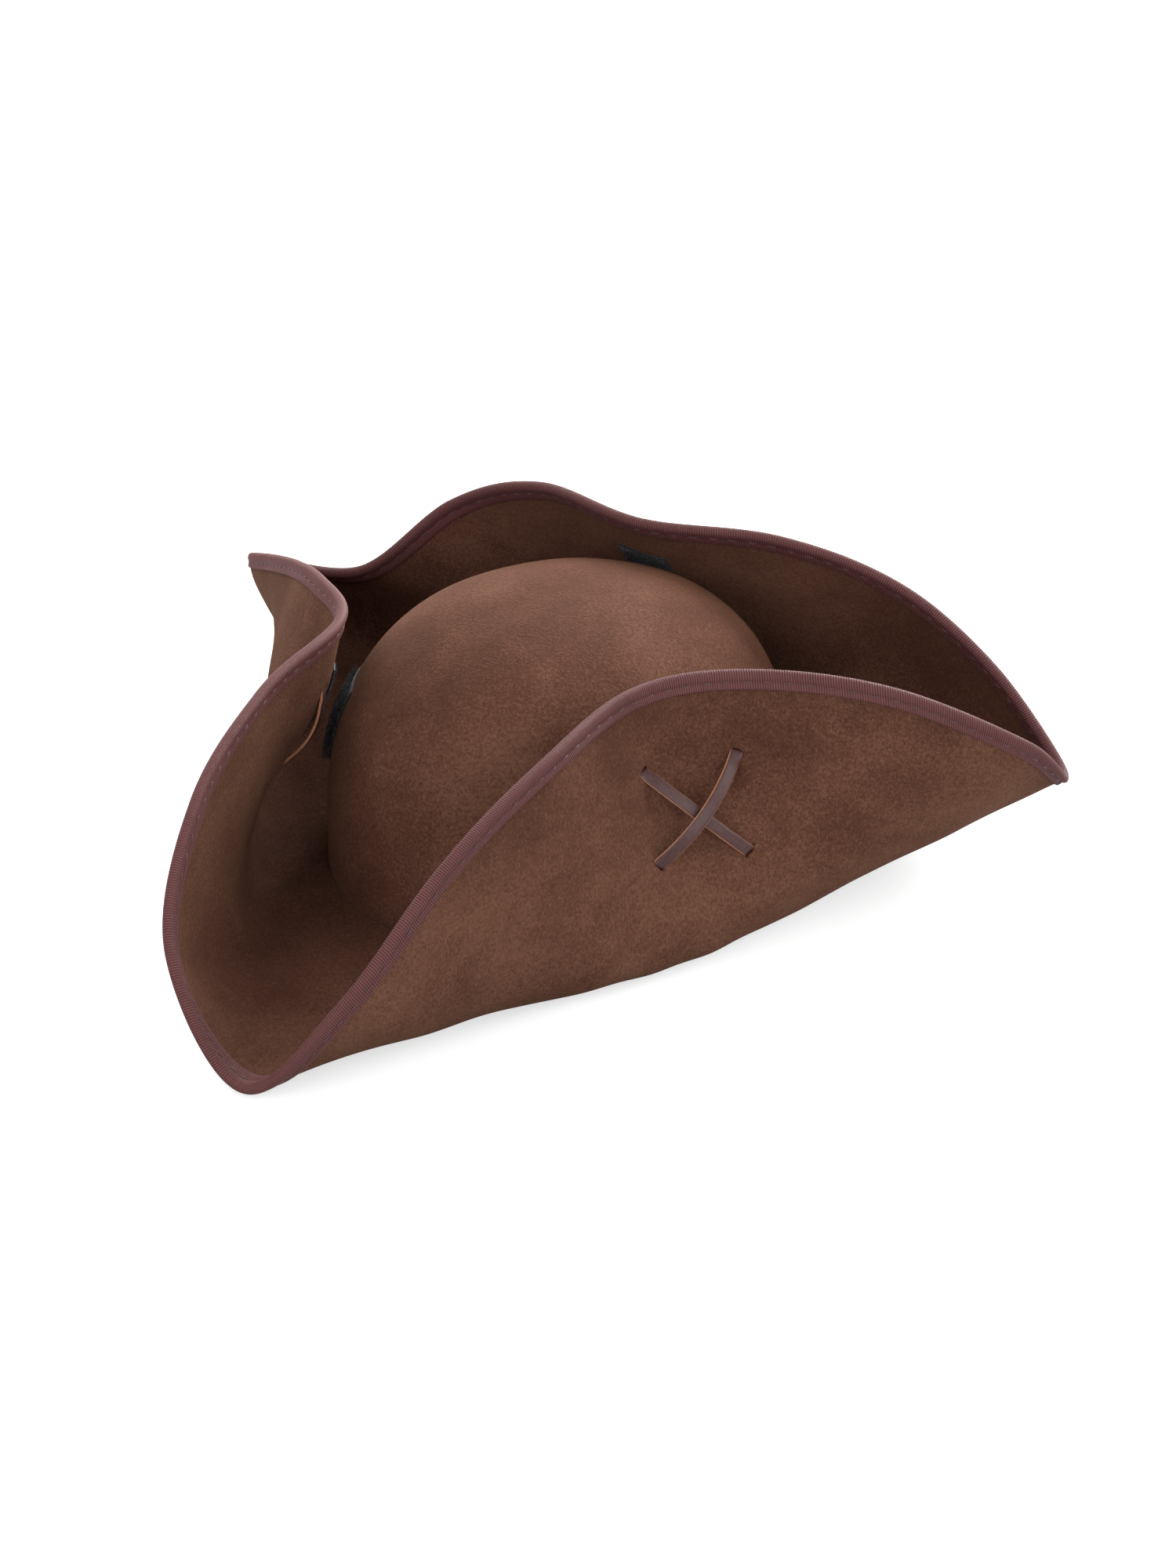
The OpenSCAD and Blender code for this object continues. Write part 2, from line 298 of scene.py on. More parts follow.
flapNames = ["right", "back", "left"]
flapSpan = {"right": (0, 8), "back": (8, 16), "left": (16, 24)}
flapFasten = {"right": 4.4, "back": 12.15, "left": 19.6}


def bendWithFlap(obj):
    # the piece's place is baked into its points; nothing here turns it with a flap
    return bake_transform(obj)


# camera, light and floor

view = {
    "turned": 30.0,            # degrees round from the front
    "raised": 28.0,
    "away": 1.65,
    "lens": 91.67,
    "shift": (0.01685, 0.0347),
}


def towards(turned, raised):
    # unit vector by degrees round from the front and degrees up
    a, e = math.radians(turned), math.radians(raised)
    return Vector((math.sin(a) * math.cos(e), -math.cos(a) * math.cos(e), math.sin(e)))


def makeCamera():
    turned = math.radians(view["turned"])
    back = towards(view["turned"], view["raised"])
    right = Vector((math.cos(turned), math.sin(turned), 0))
    up = back.cross(right)
    data = bpy.data.cameras.new("camera")
    data.lens = view["lens"]
    data.sensor_width = 36
    data.shift_x, data.shift_y = view["shift"]
    data.clip_end = 50
    camera = bpy.data.objects.new("camera", data)
    place = Matrix((right, up, back)).transposed().to_4x4()
    place.translation = back * view["away"]
    camera.matrix_world = place
    bpy.context.scene.collection.objects.link(camera)
    bpy.context.scene.camera = camera


makeCamera()
print("camera set")

studio = {
    "floorWhite": 0.5,
    "floorShown": 0.62,        # glow of the floor that only the camera sees
    "sky": 0.03,               # fills from all round
    "backdrop": 1.0,
    "lightSize": 0.9,
    "lightAway": 1.6,
    # watts, degrees round from the front, degrees up
    "lights": {
        "frontLight": (16.5, 0, 28),
        "rightLight": (12.0, 60, 28),
        "rightBackLight": (14.5, 120, 28),
        "backLight": (46.0, 180, 28),
        "topBackLight": (8.0, 180, 62),
        "leftBackLight": (14.5, 240, 28),
        "leftHighLight": (9.5, 300, 60),
    },
}


def makeStudio():
    world = bpy.data.worlds.new("studio")
    world.use_nodes = True
    nodes, links = world.node_tree.nodes, world.node_tree.links
    fill = nodes["Background"]
    fill.inputs["Color"].default_value = (1, 1, 1, 1)
    fill.inputs["Strength"].default_value = studio["sky"]
    seen = nodes.new("ShaderNodeBackground")
    seen.inputs["Strength"].default_value = studio["backdrop"]
    seen.inputs["Color"].default_value = (1, 1, 1, 1)
    path = nodes.new("ShaderNodeLightPath")
    pick = nodes.new("ShaderNodeMixShader")
    links.new(path.outputs["Is Camera Ray"], pick.inputs[0])
    links.new(fill.outputs[0], pick.inputs[1])
    links.new(seen.outputs[0], pick.inputs[2])
    links.new(pick.outputs[0], nodes["World Output"].inputs["Surface"])
    bpy.context.scene.world = world
    for name, (watts, turned, raised) in studio["lights"].items():
        light = bpy.data.lights.new(name, "AREA")
        light.energy = watts
        light.size = studio["lightSize"]
        lamp = bpy.data.objects.new(name, light)
        place = towards(turned, raised) * studio["lightAway"]
        aim = place.to_track_quat("Z", "Y").to_matrix().to_4x4()
        lamp.matrix_world = Matrix.Translation(place) @ aim
        bpy.context.scene.collection.objects.link(lamp)
    side = 4.0
    corners = np.array([[-side, -side, 0], [side, -side, 0], [side, side, 0], [-side, side, 0]], float)
    mesh = bpy.data.meshes.new("floor")
    mesh.from_pydata((corners - [0, 0, 0.2 * mm]).tolist(), [], [(0, 1, 2, 3)])
    floor = bpy.data.objects.new("floor", mesh)
    bpy.context.scene.collection.objects.link(floor)
    white = bpy.data.materials.new("whiteFloor")
    white.use_nodes = True
    shader = white.node_tree.nodes["Principled BSDF"]
    shader.inputs["Base Color"].default_value = (studio["floorWhite"],) * 3 + (1,)
    shader.inputs["Roughness"].default_value = 1
    shader.inputs["Specular IOR Level"].default_value = 0
    shader.inputs["Emission Color"].default_value = (1, 1, 1, 1)
    path = white.node_tree.nodes.new("ShaderNodeLightPath")
    shown = white.node_tree.nodes.new("ShaderNodeMath")
    shown.operation = "MULTIPLY"
    shown.inputs[1].default_value = studio["floorShown"]
    white.node_tree.links.new(path.outputs["Is Camera Ray"], shown.inputs[0])
    white.node_tree.links.new(shown.outputs[0], shader.inputs["Emission Strength"])
    mesh.materials.append(white)
    bpy.context.scene.view_settings.view_transform = "Standard"


makeStudio()
print("studio set")


# materials

class Finish:
    # one node material; its methods add nodes and return their outputs
    def __init__(self, name, colour, roughness, sheen=0.0, sheenRoughness=0.5, sheenTint=(1, 1, 1),
                 specular=0.5, metallic=0.0):
        self.material = bpy.data.materials.new(name)
        self.material.use_nodes = True
        self.nodes = self.material.node_tree.nodes
        self.links = self.material.node_tree.links
        self.shader = self.nodes["Principled BSDF"]
        self.shader.inputs["Base Color"].default_value = (*colour, 1)
        self.shader.inputs["Roughness"].default_value = roughness
        self.shader.inputs["Specular IOR Level"].default_value = specular
        self.shader.inputs["Metallic"].default_value = metallic
        self.shader.inputs["Sheen Weight"].default_value = sheen
        self.shader.inputs["Sheen Roughness"].default_value = sheenRoughness
        self.shader.inputs["Sheen Tint"].default_value = (*sheenTint, 1)

    def put(self, socket, value):
        if isinstance(value, bpy.types.NodeSocket):
            self.links.new(value, socket)
        elif isinstance(value, tuple) and len(value) == 3 and socket.type == "RGBA":
            socket.default_value = (*value, 1)
        else:
            socket.default_value = value

    def rest(self):
        # where the point lies on the hat before any flap is opened
        node = self.nodes.new("ShaderNodeAttribute")
        node.attribute_name = "rest"
        return node.outputs["Vector"]

    def flat(self):
        node = self.nodes.new("ShaderNodeUVMap")
        node.uv_map = "flat"
        return node.outputs["UV"]

    def stretched(self, vector, scale, turn=(0, 0, 0)):
        node = self.nodes.new("ShaderNodeMapping")
        self.put(node.inputs["Vector"], vector)
        node.inputs["Scale"].default_value = scale
        node.inputs["Rotation"].default_value = turn
        return node.outputs["Vector"]

    def noise(self, vector, scale, detail=3.0, roughness=0.55, distortion=0.0):
        node = self.nodes.new("ShaderNodeTexNoise")
        self.put(node.inputs["Vector"], vector)
        node.inputs["Scale"].default_value = scale
        node.inputs["Detail"].default_value = detail
        node.inputs["Roughness"].default_value = roughness
        node.inputs["Distortion"].default_value = distortion
        return node.outputs["Fac"]

    def cells(self, vector, scale):
        node = self.nodes.new("ShaderNodeTexVoronoi")
        self.put(node.inputs["Vector"], vector)
        node.inputs["Scale"].default_value = scale
        return node.outputs["Distance"]

    def parts(self, vector):
        node = self.nodes.new("ShaderNodeSeparateXYZ")
        self.put(node.inputs["Vector"], vector)
        return node.outputs["X"], node.outputs["Y"], node.outputs["Z"]

    def math(self, kind, a, b=0.0, c=0.0):
        node = self.nodes.new("ShaderNodeMath")
        node.operation = kind
        for socket, value in zip(node.inputs, (a, b, c)):
            self.put(socket, value)
        return node.outputs["Value"]

    def ribs(self, along, pitch):
        # 0 to 1 waves along a length in metres
        wave = self.math("SINE", self.math("MULTIPLY", along, tau / pitch))
        return self.math("MULTIPLY_ADD", wave, 0.5, 0.5)

    def between(self, value, low, high):
        # stretches low..high to 0..1
        node = self.nodes.new("ShaderNodeMapRange")
        self.put(node.inputs["Value"], value)
        node.inputs["From Min"].default_value = low
        node.inputs["From Max"].default_value = high
        return node.outputs["Result"]

    def blendOf(self, factor, a, b):
        node = self.nodes.new("ShaderNodeMix")
        node.data_type = "RGBA"
        self.put(node.inputs[0], factor)
        self.put(node.inputs[6], a)
        self.put(node.inputs[7], b)
        return node.outputs[2]

    def bumped(self, height, distance, strength=1.0):
        # bumps are laid one over another
        node = self.nodes.new("ShaderNodeBump")
        node.inputs["Strength"].default_value = strength
        node.inputs["Distance"].default_value = distance
        self.put(node.inputs["Height"], height)
        if self.shader.inputs["Normal"].is_linked:
            self.links.new(self.shader.inputs["Normal"].links[0].from_socket, node.inputs["Normal"])
        self.links.new(node.outputs["Normal"], self.shader.inputs["Normal"])

    def colour(self, value):
        self.put(self.shader.inputs["Base Color"], value)

    def roughness(self, value):
        self.put(self.shader.inputs["Roughness"], value)


suede = {
    "dark": (0.040, 0.0152, 0.0096),
    "middle": (0.080, 0.0330, 0.0212),
    "light": (0.148, 0.0715, 0.0465),
    "clouds": 13,              # per metre: slow changes of tone
    "brushed": 38,             # patches where the nap lies another way
    "grain": 860,
    "fibre": 1700,
}


def suedeFinish():
    f = Finish("suedeCloth", suede["middle"], 0.95, sheen=0.07, sheenRoughness=0.5,
               sheenTint=(1.0, 0.52, 0.30), specular=0.06)
    p = f.rest()
    clouds = f.noise(p, suede["clouds"], 2, 0.5, 0.3)
    brushed = f.noise(f.stretched(p, (1, 0.7, 1.3), (0.4, 0.2, 0.7)), suede["brushed"], 5, 0.68, 0.5)
    grain = f.noise(p, suede["grain"], 2, 0.6, 0.4)
    fibre = f.noise(f.stretched(p, (1, 1, 0.5), (0.5, 0.3, 0.2)), suede["fibre"], 2, 0.7)
    tone = f.math("MULTIPLY_ADD", f.between(clouds, 0.35, 0.65), 0.24, 0.0)
    tone = f.math("MULTIPLY_ADD", f.between(brushed, 0.32, 0.68), 0.20, tone)
    tone = f.math("MULTIPLY_ADD", f.between(grain, 0.32, 0.68), 0.30, tone)
    tone = f.math("MULTIPLY_ADD", f.between(fibre, 0.3, 0.7), 0.26, tone)
    low = f.blendOf(f.between(tone, 0.12, 0.52), suede["dark"], suede["middle"])
    f.colour(f.blendOf(f.between(tone, 0.48, 0.92), low, suede["light"]))
    f.roughness(f.math("MULTIPLY_ADD", brushed, 0.12, 0.84))
    f.bumped(brushed, 0.8 * mm, 0.25)
    f.bumped(grain, 0.6 * mm, 0.8)
    f.bumped(fibre, 0.3 * mm, 0.7)
    return f.material


ribbonWeave = {
    # painted shade: the colour in the grooves between the ribs
    "shadedValley": (0.030, 0.0085, 0.0095),
    "crest": (0.140, 0.050, 0.047),
    "pitch": 1.0 * mm,         # from rib to rib
    "thread": 3200,
}


def ribbonFinish(name, shadedValley, crest, pitch, sheen):
    # grosgrain: fine ribs across the tape, with the warp threads between them; the colour goes dark in the
    # rib grooves as painted shade
    f = Finish(name, crest, 0.62, sheen=sheen, sheenRoughness=0.35,
               sheenTint=(1.0, 0.55, 0.5), specular=0.2)
    x, y, z = f.parts(f.flat())
    ribs = f.ribs(x, pitch)
    warp = f.ribs(y, 0.45 * mm)
    spun = f.noise(f.rest(), ribbonWeave["thread"], 2, 0.6)
    faded = f.noise(f.rest(), 70, 3, 0.6)
    # the rib wave darkens the colour in the grooves: painted shade
    tone = f.math("MULTIPLY_ADD", ribs, 0.62, f.math("MULTIPLY", spun, 0.22))
    tone = f.math("MULTIPLY_ADD", warp, 0.08, tone)
    tone = f.math("MULTIPLY_ADD", faded, 0.18, tone)
    f.colour(f.blendOf(f.between(tone, 0.1, 0.95), shadedValley, crest))
    f.roughness(f.math("MULTIPLY_ADD", ribs, -0.12, 0.72))
    f.bumped(ribs, 0.16 * mm, 0.7)
    f.bumped(f.math("MULTIPLY", warp, spun), 0.08 * mm, 0.6)
    return f.material


def threadFinish():
    f = Finish("sewingThread", (0.12, 0.05, 0.05), 0.6, sheen=0.2, specular=0.35)
    twist = f.noise(f.stretched(f.rest(), (1, 1, 2.2), (0.6, 0.5, 0.3)), 2400, 2, 0.6)
    f.colour(f.blendOf(twist, (0.034, 0.010, 0.011), (0.100, 0.040, 0.039)))
    f.bumped(twist, 0.1 * mm, 0.8)
    return f.material


thong = {
    "wide": 5 * mm,
    "thick": 1.25 * mm,
    "face": (0.045, 0.0185, 0.0175),
    "worn": (0.078, 0.036, 0.033),
    "cut": (0.50, 0.22, 0.105),   # the pale cut edges
}


def thongFinish():
    # the strap's UV runs across its face from 0 to 1 and over its cut edges beyond that
    f = Finish("thongLeather", thong["face"], 0.42, specular=0.3)
    x, y, z = f.parts(f.flat())
    p = f.rest()
    creased = f.noise(f.stretched(f.flat(), (1, 0.02, 1)), 420, 4, 0.65, 0.4)
    pores = f.cells(p, 1500)
    face = f.blendOf(f.between(creased, 0.35, 0.75), thong["face"], thong["worn"])
    fluff = f.noise(p, 1600, 2, 0.6)
    cut = f.blendOf(fluff, thong["cut"], (0.26, 0.105, 0.055))
    edge = f.math("GREATER_THAN", f.math("MULTIPLY_ADD", f.math("SUBTRACT", fluff, 0.5), 0.05, y), 0.985)
    f.colour(f.blendOf(edge, face, cut))
    f.roughness(f.math("MULTIPLY_ADD", creased, 0.2, f.math("MULTIPLY_ADD", edge, 0.35, 0.3)))
    f.bumped(creased, 0.25 * mm, 0.4)
    f.bumped(pores, 0.1 * mm, 0.3)
    return f.material


def liningFinish():
    # plain woven satin: warp and weft threads half a millimetre apart
    f = Finish("liningSatin", (0.012, 0.011, 0.013), 0.42, sheen=0.1, specular=0.5)
    x, y, z = f.parts(f.flat())
    warp = f.ribs(x, 0.5 * mm)
    weft = f.ribs(y, 0.5 * mm)
    weave = f.math("MULTIPLY", warp, weft)
    slub = f.noise(f.rest(), 120, 4, 0.6, 0.5)
    f.colour(f.blendOf(f.math("MULTIPLY", weave, slub), (0.008, 0.008, 0.010), (0.034, 0.031, 0.036)))
    f.roughness(f.math("MULTIPLY_ADD", slub, 0.25, 0.32))
    f.bumped(weave, 0.1 * mm, 0.4)
    f.bumped(slub, 0.8 * mm, 0.5)
    return f.material


def pileFinish(name, deep, top, roughness):
    # black fastening tape: woven ground and nylon pile
    f = Finish(name, top, roughness, sheen=0.25, sheenRoughness=0.4, specular=0.4)
    weave = f.cells(f.rest(), 1300)
    dust = f.noise(f.rest(), 500, 3, 0.7)
    f.colour(f.blendOf(f.math("MULTIPLY", weave, f.between(dust, 0.3, 0.8)), deep, top))
    f.bumped(weave, 0.25 * mm, 0.6)
    return f.material


def wireFinish():
    f = Finish("springWire", (0.35, 0.35, 0.37), 0.35, metallic=1)
    drawn = f.noise(f.stretched(f.rest(), (1, 1, 1)), 900, 3, 0.6)
    f.roughness(f.math("MULTIPLY_ADD", drawn, 0.3, 0.2))
    f.colour(f.blendOf(drawn, (0.25, 0.25, 0.27), (0.42, 0.42, 0.44)))
    return f.material


suedeCloth = suedeFinish()
grosgrain = ribbonFinish("edgeRibbon", ribbonWeave["shadedValley"], ribbonWeave["crest"],
                         ribbonWeave["pitch"], 0.08)
# this tape's first colour is also painted shade in its rib grooves
blackTape = ribbonFinish("ribbedTape", (0.006, 0.006, 0.007), (0.032, 0.030, 0.033), 0.9 * mm, 0.15)
sewingThread = threadFinish()
thongLeather = thongFinish()
liningSatin = liningFinish()
loopPile = pileFinish("loopPile", (0.004, 0.004, 0.005), (0.022, 0.021, 0.024), 0.8)
hookPile = pileFinish("hookPile", (0.004, 0.004, 0.005), (0.028, 0.027, 0.031), 0.45)
springWire = wireFinish()
print("materials made")


# crown, with its lining and sweatband

crown = {
    "thick": 2 * mm,
    "foot": 1.1 * mm,
    "planPower": 2.5,
    "sidePower": 3.2,
    "sides": 300,
    "levels": 110,
    "liningIn": 2.2 * mm,
    "liningThick": 0.8 * mm,
}


def domePoints(inset, lumps=0.0):
    # heights follow sin^(2/side power) and the oval draws in by cos^(2/plan power),
    # so the top is a smooth cap; level 0 is the foot
    top = hatForm["crownHigh"] - inset
    low = math.asin(min(1, (crown["foot"] / top)) ** (crown["sidePower"] / 2))
    tilt = np.linspace(low, math.pi / 2, crown["levels"])[:, None]
    angle = np.linspace(0, 360, crown["sides"], endpoint=False)[None]
    z = top * np.sin(tilt) ** (2 / crown["sidePower"])
    drawn = np.cos(tilt) ** (2 / crown["planPower"])
    drawn[-1] = 0
    points = ovalPoint(angle, -inset, 0)
    points = points * drawn[..., None]
    points[..., 2] = z
    # hand-shaped unevenness, a few slow waves that die out at the foot and at the pole
    a = np.radians(angle)
    waves = (np.sin(2 * a + 0.8) * 0.7 + np.sin(3 * a + 2.0 + 3 * tilt) * 0.5
             + np.sin(5 * a - 2.6 * tilt + 1.0) * 0.35 + np.sin(7 * a + 5 * tilt) * 0.2)
    fade = np.sin(2 * tilt).clip(0, 1) ** 0.8
    outward = unitOf(points * np.array([1, 1, 0]) + np.array([0, 0, 1]) * z[..., None] * 0.6 + 1e-9)
    return points + (lumps * waves * fade)[..., None] * outward


def domeShell(name, outer, inner):
    # outer wall up to its pole, inner wall down from its own, joined round the foot
    levels, sides = outer.shape[:2]
    rings = np.concatenate([outer, inner[::-1]])
    faces = skinFaces(2 * levels, sides, loop=True).reshape(2 * levels, sides, 4)
    faces = np.delete(faces, levels - 1, axis=0).reshape(-1, 4)
    climb = np.linalg.norm(np.diff(rings[:, 0], axis=0), axis=1)
    down = np.concatenate([[0], np.cumsum(climb), [0]])
    row, column = faces // sides, faces % sides
    seam = (np.ptp(column, axis=1) > sides / 2)[:, None] & (column == 0)
    around = np.where(seam, sides, column) / sides * 0.62
    uv = np.stack([around, down[row]], -1)
    obj = meshFrom(name, rings.reshape(-1, 3), faces, uv)
    return closePoles(obj)


def give(obj, finish, body=None):
    obj.data.materials.append(finish)
    if body:
        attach(obj, body)
    return obj


crownOuter = domePoints(0, 0.5 * mm)
crownCloth = domeShell("crownCloth", crownOuter, domePoints(crown["thick"], 0.3 * mm))
give(crownCloth, suedeCloth, "hat_body")
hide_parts("crown_shell")
lining = domeShell("crownLining", domePoints(crown["liningIn"] + 0.3 * mm),
                   domePoints(crown["liningIn"] + crown["liningThick"]))
give(lining, liningSatin, "hat_body")
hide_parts("crown_lining")
print("crown made")

bands = {
    "steps": 1200,
    "sweatIn": 4.1 * mm,
    "stitches": 72,
    "stitchUp": 5 * mm,
}


def ovalRun(grow):
    # distance round the oval for each band step, one value more than there are steps
    a = np.linspace(0, 360, bands["steps"] + 1)
    p = ovalPoint(a, grow)
    return np.concatenate([[0], np.cumsum(np.linalg.norm(np.diff(p, axis=0), axis=1))])


def roundBand(name, section, ribPitch, ribDeep, sway=0.0):
    # a closed section of (grow, z) points carried round the oval, ribbed across
    section = np.array(section) * mm
    middle = section[:, 0].mean()
    run = ovalRun(middle)
    angle = np.linspace(0, 360, bands["steps"], endpoint=False)
    ribs = ribDeep * np.cos(tau * run[:-1] / ribPitch)
    a = np.radians(angle)
    drift = sway * (np.sin(3 * a + 1) + 0.6 * np.sin(5 * a + 2.2) + 0.4 * np.sin(9 * a))
    outward = np.sign(section[:, 0] - middle)
    grow = section[None, :, 0] + ribs[:, None] * outward + drift[:, None]
    rings = ovalPoint(angle[:, None], grow, section[None, :, 1])
    size = np.linalg.norm(np.diff(section, axis=0, append=section[:1]), axis=1)
    across = np.concatenate([[0], np.cumsum(size)])
    return skin(name, rings, loop=True, across=across, along=run)


def sweatSection():
    # thin band, rolled a little outward at its top and with a beaded lower edge
    z = np.array([1.1, 1.6, 2.6, 4.0, 5.0, 6.0, 8, 12, 16, 20, 24, 27, 29.0, 30.2, 30.9])
    inner = -4.1 - np.array([0.5, 0.9, 1.1, 1.1, 0.95, 1.1, 1.15, 1.2, 1.2, 1.2, 1.2, 1.2, 1.15, 1.0, 0.7])
    outer = -4.1 - np.array([0.4, 0.15, 0.05, 0.05, 0.05, 0.05, 0.05, 0, 0, 0, 0, 0, 0.05, 0.15, 0.4])
    return list(zip(outer, z)) + list(zip(inner[::-1], z[::-1]))


sweatband = roundBand("sweatband", sweatSection(), 1.5 * mm, 0.04 * mm)
give(sweatband, blackTape, "hat_body")
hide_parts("sweatband")


def tapeSection():
    grow = np.array([7.9, 7.2, 5.5, 3, 1.2, 0.4, -0.4, -1.2, -2.6, -3.9])
    top = np.array([0.62, 0.95, 1.0, 1.0, 1.0, 1.0, 1.0, 1.0, 1.0, 0.7])
    low = np.array([0.3, 0.05, 0.0, 0.0, 0.0, 0.05, 0.05, 0.0, 0.0, 0.25])
    return list(zip(grow, top)) + list(zip(grow[::-1], low[::-1]))


seamTape = roundBand("seamTape", tapeSection(), 1.0 * mm, 0.0)
give(seamTape, blackTape, "hat_body")
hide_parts("seam_tape")


def stitchRings(middle, ahead, up, half, radius, arch, rings=7, sides=6):
    # short threads: each an arched rod that narrows towards its two ends
    s = np.linspace(-1, 1, rings)
    a = np.arange(sides) / sides * tau
    across = unitOf(np.cross(ahead, up))
    path = (middle[:, None] + ahead[:, None] * (half * s)[None, :, None]
            + up[:, None] * (arch * (1 - s**2) - arch * 0.5)[None, :, None])
    thick = radius * np.sqrt(1 - np.abs(s) ** 3 * 0.92)
    ring = (np.cos(a)[:, None] * across[:, None] + np.sin(a)[:, None] * up[:, None])
    return path[:, :, None] + thick[None, :, None, None] * ring[:, None]


def sweatStitching():
    a = np.arange(bands["stitches"]) * 360 / bands["stitches"]
    n = ovalNormal(a)
    ahead = unitOf(np.cross(np.array([0, 0, 1.0]), n))
    middle = ovalPoint(a, -bands["sweatIn"] - 0.95 * mm, bands["stitchUp"])
    obj = manySkins("sweatbandStitching", stitchRings(middle, ahead, -n, 1.9 * mm, 0.3 * mm, 0.35 * mm))
    give(obj, sewingThread, "hat_body")
    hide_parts("sweatband_stitching")


sweatStitching()
print("sweatband and tape made")


# brim cloth in three parts that meet at the corners

brim = {
    "steps": 230,              # along the edge of each part
    "rows": 70,                # from foot to edge
    "endIn": 3.4 * mm,         # the cloth stops this far inside the bound edge
}


def sectorU(side, count):
    # evenly spaced along the edge, corner to corner
    start, end = flapSpan[side]
    return edgeU(np.linspace(edgeDistance(start), edgeDistance(end), count))


def brimSector(side):
    u = sectorU(side, brim["steps"])[:, None]
    share = np.linspace(0, 1, brim["rows"])[None]
    v = share * inFromEdge(u, brim["endIn"])
    outer = offBrim(u, v, hatForm["cloth"] / 2)
    inner = offBrim(u, v, -hatForm["cloth"] / 2)
    rings = np.concatenate([outer, inner[:, ::-1]], axis=1)
    obj = skin(side + "BrimCloth", rings)
    # true surface normals, so that the shading runs on across the corners
    du = 0.01
    points = rings.reshape(-1, 3)
    normals = []
    for h in (1, -1):
        lift = h * hatForm["cloth"] / 2
        alongU = offBrim(u + du, v, lift) - offBrim(u - du, v, lift)
        alongV = offBrim(u, v + du / 4, lift) - offBrim(u, v - du / 4, lift)
        n = unitOf(np.cross(alongU, alongV)) * h
        normals.append(n if h > 0 else n[:, ::-1])
    return obj, points, np.concatenate(normals, axis=1).reshape(-1, 3)


def pointsOf(mesh):
    found = np.empty(len(mesh.vertices) * 3, np.float32)
    mesh.vertices.foreach_get("co", found)
    return found.reshape(-1, 3)


def placeKeys(points):
    # one whole number for each place, in steps of a micrometre
    steps = np.round(points.astype(np.float32).astype(float) * 1e6).astype(np.int64)
    return steps @ np.array([1, 2**20, 2**40])


def setShading(obj, side):
    # each point takes the true normal of the grid point that it lies on, and the
    # points of a cut rim are left to their own
    points, normals = brimGrid[side]
    gridKeys = placeKeys(points)
    order = np.argsort(gridKeys)
    keys = placeKeys(pointsOf(obj.data))
    at = order[np.searchsorted(gridKeys[order], keys).clip(0, len(order) - 1)]
    known = (gridKeys[at] == keys)[:, None]
    obj.data.normals_split_custom_set_from_vertices(np.where(known, normals[at], 0).astype(np.float32))


brimCloth, brimGrid = {}, {}
for side in flapNames:
    brimCloth[side], points, normals = brimSector(side)
    brimGrid[side] = (points, normals)
    brimCloth[side].data.normals_split_custom_set_from_vertices(normals.astype(np.float32))
    give(brimCloth[side], suedeCloth)
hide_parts("brim_base", "right_flap")
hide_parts("back_flap")
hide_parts("left_flap")
print("brim cloth made")


# edge ribbon, its wire and its stitches

edging = {
    "bead": 2.3 * mm,          # radius of the rolled edge over the wire
    "ribbonThick": 0.5 * mm,
    "outerFlange": 3.1 * mm,   # from the stitches to the ribbon's border
    "innerFlange": 4.2 * mm,
    "steps": 1860,             # rings along each part, four to a rib
    "ribDeep": 0.05 * mm,
    "stitchIn": 5.2 * mm,
    "stitchPitch": 8.2 * mm,
    "stitchHalf": 1.9 * mm,
    "wireRound": 0.8 * mm,
}
# flange of the ribbon, from its free border over the stitched groove to the rolled
# edge: share of the flange's width from the groove, and height off the cloth, mm
flange = [(1.0, 1.6), (0.93, 1.98), (0.7, 2.08), (0.45, 2.02), (0.2, 1.8), (0, 1.52),
          (-0.16, 1.72), (-0.34, 2.05), (-0.58, 2.22)]


def ribbonSection():
    # flange, rolled edge, flange of the other face; then back along its inner side
    turn = np.radians(np.linspace(75, -75, 8))
    bead, groove = edging["bead"], edging["stitchIn"]
    share, high = np.array(flange).T
    outerFace = np.stack([groove + share * edging["outerFlange"], high * mm], -1)
    innerFace = np.stack([groove + share * edging["innerFlange"], -high * mm], -1)
    rolled = np.stack([bead - bead * np.cos(turn), bead * np.sin(turn)], -1)
    out = np.concatenate([outerFace, rolled, innerFace[::-1]])
    run = np.gradient(out, axis=0)
    inward = unitOf(np.stack([-run[:, 1], run[:, 0]], -1))
    inner = out + inward * edging["ribbonThick"]
    return out, inner, inward


def edgeRibbon(side):
    out, inner, inward = ribbonSection()
    run = np.linspace(edgeDistance(flapSpan[side][0]), edgeDistance(flapSpan[side][1]), edging["steps"])
    u = edgeU(run)[:, None]
    ribs = edging["ribDeep"] * np.cos(tau * run / ribbonWeave["pitch"])[:, None, None]
    face = out[None] - inward[None] * ribs
    section = np.concatenate([face, np.broadcast_to(inner[::-1], face.shape)], axis=1)
    rings = atEdge(u, section[..., 0], section[..., 1])
    closed = np.concatenate([out, inner[::-1], out[:1]])
    across = np.concatenate([[0], np.cumsum(np.linalg.norm(np.diff(closed, axis=0), axis=1))])
    obj = skin(side + "EdgeRibbon", rings, across=across, along=run)
    return give(obj, grosgrain)


def edgeWire(side):
    # a thin wire in the rolled edge
    a = np.arange(8) / 8 * tau
    u = sectorU(side, 240)[:, None]
    d = edging["bead"] + edging["wireRound"] * np.cos(a)[None]
    rings = atEdge(u, d, edging["wireRound"] * np.sin(a)[None])
    obj = skin(side + "EdgeWire", rings)
    return give(obj, springWire)


